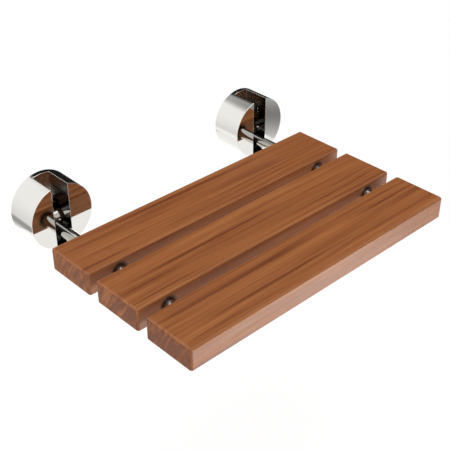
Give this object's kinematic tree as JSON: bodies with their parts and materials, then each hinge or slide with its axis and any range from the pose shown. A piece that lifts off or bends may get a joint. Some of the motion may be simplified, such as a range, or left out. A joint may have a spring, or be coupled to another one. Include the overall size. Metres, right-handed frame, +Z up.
{
  "type": "fold down wall seat",
  "caption": "Fold-down wall seat: hardwood slats on two round metal bars, each hinged in a slotted round wall housing, so the seat folds up against the wall.",
  "frame": {"origin": "on the wall plane, midway between the two housings, at the height of their middles", "axes": "+X along the wall, to the right as seen from the room; +Y into the wall; +Z up. The seat is folded down and reaches out towards -Y"},
  "size_m": [0.512, 0.3962, 0.105],
  "materials": {
    "teak": "oiled, planed with eased edges",
    "polished_nickel": "mirror polish with a warm tone",
    "stainless_steel": "plain turned",
    "acetal": "black, satin"
  },
  "bodies": {
    "wall_fixture": {"housing_left": "polished_nickel", "housing_right": "polished_nickel", "housing_screws_left": "stainless_steel", "housing_screws_right": "stainless_steel", "wall_bracket_left": "polished_nickel", "wall_bracket_right": "polished_nickel", "pivot_pin_left": "stainless_steel", "pivot_pin_right": "stainless_steel", "pin_clips_left": "stainless_steel", "pin_clips_right": "stainless_steel", "thrust_spacers_left": "acetal", "thrust_spacers_right": "acetal", "rest_buffer_left": "acetal", "rest_buffer_right": "acetal", "fold_buffer_left": "acetal", "fold_buffer_right": "acetal"},
    "seat": {"slat_rear": "teak", "slat_middle": "teak", "slat_front": "teak", "arm_left": "polished_nickel", "arm_right": "polished_nickel", "pivot_bushes_left": "acetal", "pivot_bushes_right": "acetal", "slat_sleeves_left": "acetal", "slat_sleeves_right": "acetal", "slat_screws_left": "stainless_steel", "slat_screws_right": "stainless_steel", "slat_washers_left": "stainless_steel", "slat_washers_right": "stainless_steel"}
  },
  "joints": [
    {"name": "seat_fold", "type": "hinge", "parent": "wall_fixture", "child": "seat", "pos_m": [0, -0.02, -0.0198], "axis": [-1, 0, 0], "range_deg": [0, 90]}
  ]
}
